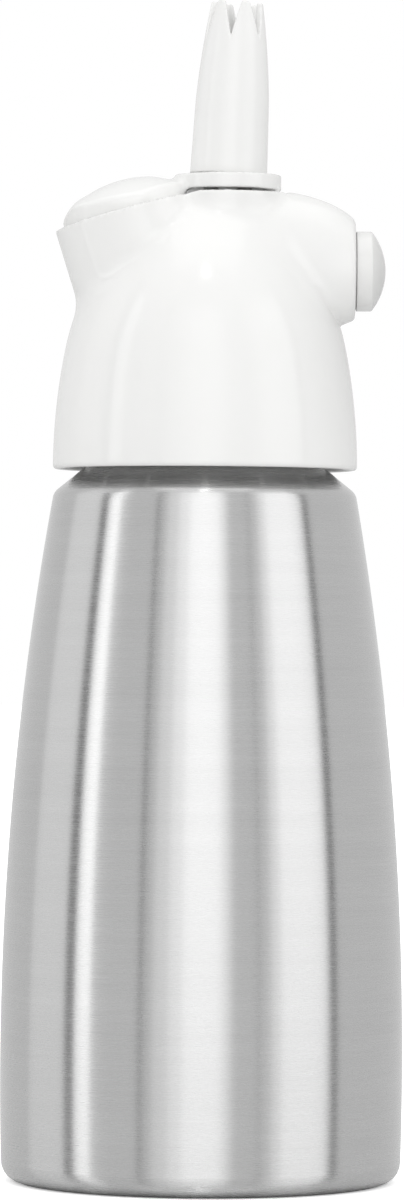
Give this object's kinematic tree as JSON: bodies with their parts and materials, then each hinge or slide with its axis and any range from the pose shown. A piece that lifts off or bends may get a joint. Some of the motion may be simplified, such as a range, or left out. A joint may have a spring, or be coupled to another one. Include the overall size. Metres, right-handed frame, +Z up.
{
  "type": "whipped cream dispenser",
  "caption": "Small squeeze-lever whipped cream dispenser: steel bottle, moulded white head with a nested lever, tulip nozzle and capped charging port.",
  "frame": {"origin": "centre of the bottle's base, on the surface that it stands on", "axes": "+Z up along the bottle's axis, +X towards the charging port, -X towards the lever"},
  "size_m": [0.074, 0.074, 0.2172],
  "materials": {
    "brushed_stainless": "brushed round the bottle, fine and even",
    "machined_steel": "turned and smooth",
    "spring_steel": "drawn wire, bright",
    "machined_aluminium": "turned, satin",
    "white_gloss_plastic": "moulded, glossy white",
    "white_satin_plastic": "moulded, satin white",
    "nylon": "moulded, matt natural",
    "black_rubber": "moulded, matt black",
    "grey_silicone": "moulded, matt grey"
  },
  "bodies": {
    "bottle": {"bottle": "brushed_stainless"},
    "gasket": {"head_gasket": "grey_silicone"},
    "head": {"head_housing": "white_gloss_plastic", "lever_pin": "machined_steel", "valve_bush": "machined_aluminium", "bush_seal": "black_rubber", "valve_spring": "spring_steel", "inlet_body": "machined_steel", "inlet_seal": "black_rubber", "piercing_pin": "machined_steel", "charger_seal": "black_rubber", "check_plug": "nylon", "check_spring": "spring_steel"},
    "lever": {"lever": "white_gloss_plastic"},
    "valve": {"valve_stem": "machined_steel", "valve_seat_seal": "black_rubber", "seat_nut": "machined_steel", "stem_orings": "black_rubber", "tip_adapter": "machined_aluminium"},
    "tip_washer": {"tip_seal": "black_rubber"},
    "tip": {"decorator_tip": "white_satin_plastic"},
    "liner": {"cap_liner": "grey_silicone"},
    "cap": {"protective_cap": "white_gloss_plastic"},
    "poppet": {"check_poppet": "nylon"}
  },
  "joints": [
    {"name": "head_lift", "type": "slide", "parent": "bottle", "child": "gasket", "axis": [0, 0, 1], "range_m": [0, 0.009]},
    {"name": "head_turn", "type": "hinge", "parent": "gasket", "child": "head", "pos_m": [0, 0, 0.1485], "axis": [0, 0, 1], "range_deg": [0, 1080]},
    {"name": "lever_press", "type": "hinge", "parent": "head", "child": "lever", "pos_m": [0.0124, 0, 0.1802], "axis": [0, -1, 0], "range_deg": [0, 4.5], "stiffness_Nm_per_rad": 0.02, "springref_deg": -14.32},
    {"name": "valve_travel", "type": "slide", "parent": "head", "child": "valve", "axis": [-0.0454, 0, -0.999], "range_m": [0, 0.00069], "stiffness_N_per_m": 50, "springref_m": -0.004, "deforming": ["valve_spring"]},
    {"name": "tip_lift", "type": "slide", "parent": "valve", "child": "tip_washer", "axis": [0.0454, 0, 0.999], "range_m": [0, 0.008]},
    {"name": "tip_turn", "type": "hinge", "parent": "tip_washer", "child": "tip", "pos_m": [0.004, 0, 0.1853], "axis": [0.0454, 0, 0.999], "range_deg": [0, 1440]},
    {"name": "cap_lift", "type": "slide", "parent": "head", "child": "liner", "axis": [1, 0, 0], "range_m": [0, 0.005]},
    {"name": "cap_turn", "type": "hinge", "parent": "liner", "child": "cap", "pos_m": [0.027, 0, 0.1676], "axis": [1, 0, 0], "range_deg": [0, 1200]},
    {"name": "poppet_travel", "type": "slide", "parent": "head", "child": "poppet", "axis": [0, 0, -1], "range_m": [0, 0.0008], "stiffness_N_per_m": 10, "springref_m": -0.0003, "deforming": ["check_spring"]}
  ],
  "couplings": [
    {"joint": "head_turn", "follows": "head_lift", "rad_per_m": 2094.4},
    {"joint": "lever_press", "follows": "valve_travel", "rad_per_m": 113.6},
    {"joint": "tip_turn", "follows": "tip_lift", "rad_per_m": 3141.6},
    {"joint": "cap_turn", "follows": "cap_lift", "rad_per_m": 4188.8}
  ]
}
